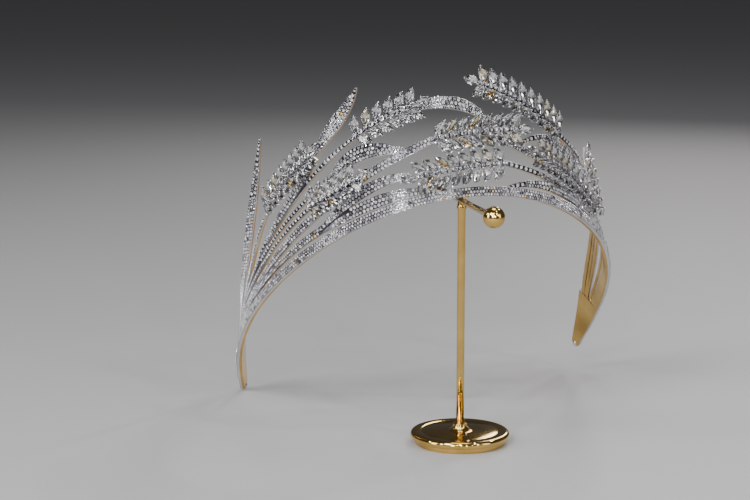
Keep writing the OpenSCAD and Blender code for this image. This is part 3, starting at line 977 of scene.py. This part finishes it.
# %% [markdown]
# ## Grains
# Each small stone is held by beads of metal at its corners. They catch the light as dotted
# lines along the rows. There are thousands of them, and each is 0.4 mm across, so a low dome of
# three rings of five points is enough.

# %% Beads at the corners of the stones
BEAD = [(0.19, -0.2), (0.2, 0.05), (0.11, 0.2)]
CORNERS = np.array([[0.5, 0.5], [0.5, -0.5]]) * GEM_D * 0.94

centre, forward, normal, size, _ = pave
side = np.cross(normal, forward)
spots = (centre[:, None] + CORNERS[None, :, :1] * forward[:, None] * size[:, None, None]
         + CORNERS[None, :, 1:] * side[:, None] * size[:, None, None]).reshape(-1, 3)
grains = copies_piece("grains", lathe(BEAD, 5), (spots, np.repeat(forward, 2, 0),
                                                 np.repeat(normal, 2, 0)), [silver], sharp=50)

# %% [markdown]
# ## Stand
# The foot, the post and the knobs are turned on a lathe, so each is a profile swept round an
# axis. A turned part has its edges broken by a small radius, and the profile has those.

# %% Foot
FOOT_D, FOOT_T, POST_D, FLARE = 35.5, 4.4, 2.8, 2.6
AXIS, BROKEN, MOUTH_ROUND, SOCKET_DEPTH = 0.02, 0.25, 0.3, 2
GROOVE = [(-2.2, 0.05), (-2.5, -0.12), (-2.9, -0.12), (-3.2, 0)]


def arc(centre, radius, start, end, count):
    """Points of a circle from start to end, in degrees."""
    a = np.radians(np.linspace(start, end, count))
    return [(centre[0] + radius * np.cos(x), centre[1] + radius * np.sin(x)) for x in a]


ring_r, step = FOOT_D / 2 - 1.6, FOOT_T * 0.4
edge_r = (FOOT_T - step) / 2
flat_r, mouth_r, mouth_z = FOOT_D / 2 - edge_r, POST_D / 2 + 1, FOOT_T + FLARE
cove = [(mouth_r + FLARE * (1 - np.sin(a)), FOOT_T + (FLARE - MOUTH_ROUND) * (1 - np.cos(a)))
        for a in np.linspace(0, np.pi / 2, 9)[:-1]]
foot_profile = (
    [(AXIS, 0)] + arc((ring_r - BROKEN, BROKEN), BROKEN, -90, 0, 4) + [(ring_r, step)]
    + arc((flat_r, step + edge_r), edge_r, -90, 90, 14)
    + [(flat_r + r, FOOT_T + z) for r, z in GROOVE] + cove
    + arc((mouth_r - MOUTH_ROUND, mouth_z - MOUTH_ROUND), MOUTH_ROUND, 0, 90, 4)
    + [(POST_D / 2 + 0.04, mouth_z), (POST_D / 2 + 0.03, mouth_z - SOCKET_DEPTH),
       (AXIS, mouth_z - SOCKET_DEPTH)])
foot = make_piece("foot", *lathe(foot_profile, 96), [brass], sharp=40)
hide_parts("stand_foot")

# %% Post and bar
POST_FOOT = 2.6
POST_HEAD = [(0, -3.2), (0.25, -2.9), (0.35, -2.4), (0.1, -1.6), (-0.1, -0.4)]


def laid(shape, hand, shift):
    """A turned shape shifted up its axis and laid along the bar, forwards (-1) or backwards (1):
    (x, y, z) becomes (x, z, y), which turns it inside out, so its faces are flipped."""
    points, faces = shape
    x, y, z = points.T
    return np.stack([x, hand * (z + shift), hand * y + BAR_Z], -1), flipped(faces)


post = lathe([(AXIS, POST_FOOT), (POST_D / 2 - 0.15, POST_FOOT), (POST_D / 2, POST_FOOT + 0.2)]
             + [(POST_D / 2 + r, BAR_Z + z) for r, z in POST_HEAD] + [(AXIS, BAR_Z - 0.2)], 96)
bar = laid(lathe([(AXIS, -BAR_L / 2), (BAR_D / 2, -BAR_L / 2), (BAR_D / 2, BAR_L / 2),
                  (AXIS, BAR_L / 2)], 96), 1, 0)
tee = make_piece("post_and_bar", *joined([post, bar]), [brass], sharp=40)
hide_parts("stand_tee")

# %% Knobs
PIN_GAP, COLLAR_L = 0.1, 1.6

collar_r, bore, ball_r = BAR_D / 2 + 0.8, BAR_D / 2 + PIN_GAP, KNOB_D / 2
knob_profile = ([(AXIS, PIN_GAP), (bore, PIN_GAP), (bore, -ball_r - COLLAR_L),
                 (collar_r - 0.2, -ball_r - COLLAR_L), (collar_r, -ball_r - COLLAR_L + 0.2),
                 (collar_r, -ball_r - 0.35), (collar_r - 0.5, -ball_r + 0.1)]
                + arc((0, 0), ball_r, -66, 89, 26))
for name, hand in (("front", -1), ("back", 1)):
    knob = make_piece(f"knob_{name}", *laid(lathe(knob_profile, 64), hand, BAR_L / 2), [brass],
                      sharp=40)
    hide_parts(f"stand_knob_{name}")

# %% [markdown]
# ## Floor and light
# A jewel is lit by large soft boxes, whose edges show as clean lines in the metal, with a few
# small lamps added for the sparkle of the stones. The floor is plain and pale.

# %% Floor
floor_mesh = bpy.data.meshes.new("floor")
floor_mesh.from_pydata([(-8, -8, 0), (8, -8, 0), (8, 12, 0), (-8, 12, 0)], [], [(0, 1, 2, 3)])
floor_mesh.materials.append(
    principled("pale_floor", {"Base Color": (0.40, 0.40, 0.41, 1), "Roughness": 0.6})[0])
floor = bpy.data.objects.new("floor", floor_mesh)
bpy.context.scene.collection.objects.link(floor)
print("floor wears", floor_mesh.materials[0].name)

# %% Lamps
LIT_PLACE = (0, 0.03, 0.07)
SPARKLE_SIZE, SPARKLE_POWER = 0.04, 1.0
SPARKLES = [(-0.3, -0.75, 0.55), (0.25, -0.6, 0.6), (-0.7, 0.1, 0.5), (0.5, 0.3, 0.7),
            (0.0, -0.85, 0.3), (-0.65, -0.35, 0.45), (0.4, -0.75, 0.4), (-0.15, -0.55, 0.85),
            (0.3, -0.3, 0.9), (-0.45, -0.8, 0.2), (-0.2, -0.85, 0.45), (-0.4, -0.6, 0.35)]


def soft_box(name, place, width, height, power, colour=(1, 1, 1)):
    """Area lamp at a place in metres, turned to face the jewel."""
    light = bpy.data.lights.new(name, "AREA")
    light.shape, light.size, light.size_y = "RECTANGLE", width, height
    light.energy, light.color = power, colour
    placed(name, light, place, Vector(LIT_PLACE) - Vector(place))


soft_box("key", (-0.55, -0.5, 0.75), 0.22, 0.22, 5.0)
soft_box("left_box", (-0.95, -0.2, 0.35), 0.2, 0.5, 3.0)
soft_box("right_box", (0.85, -0.75, 0.4), 0.35, 0.7, 1.8)
soft_box("top", (0.05, 0.15, 0.95), 0.3, 0.3, 1.5)
soft_box("rim", (0.45, 0.8, 0.5), 0.2, 0.4, 2.2, (1.0, 0.96, 0.9))
for number, place in enumerate(SPARKLES):
    soft_box(f"sparkle_{number}", place, SPARKLE_SIZE, SPARKLE_SIZE, SPARKLE_POWER)

world = bpy.data.worlds.new("studio")
world.use_nodes = True
set_inputs(world.node_tree.nodes["Background"],
           {"Color": (0.58, 0.58, 0.60, 1), "Strength": 0.12})
bpy.context.scene.world = world
print("lit by", sum(o.type == "LIGHT" for o in bpy.data.objects), "lamps")
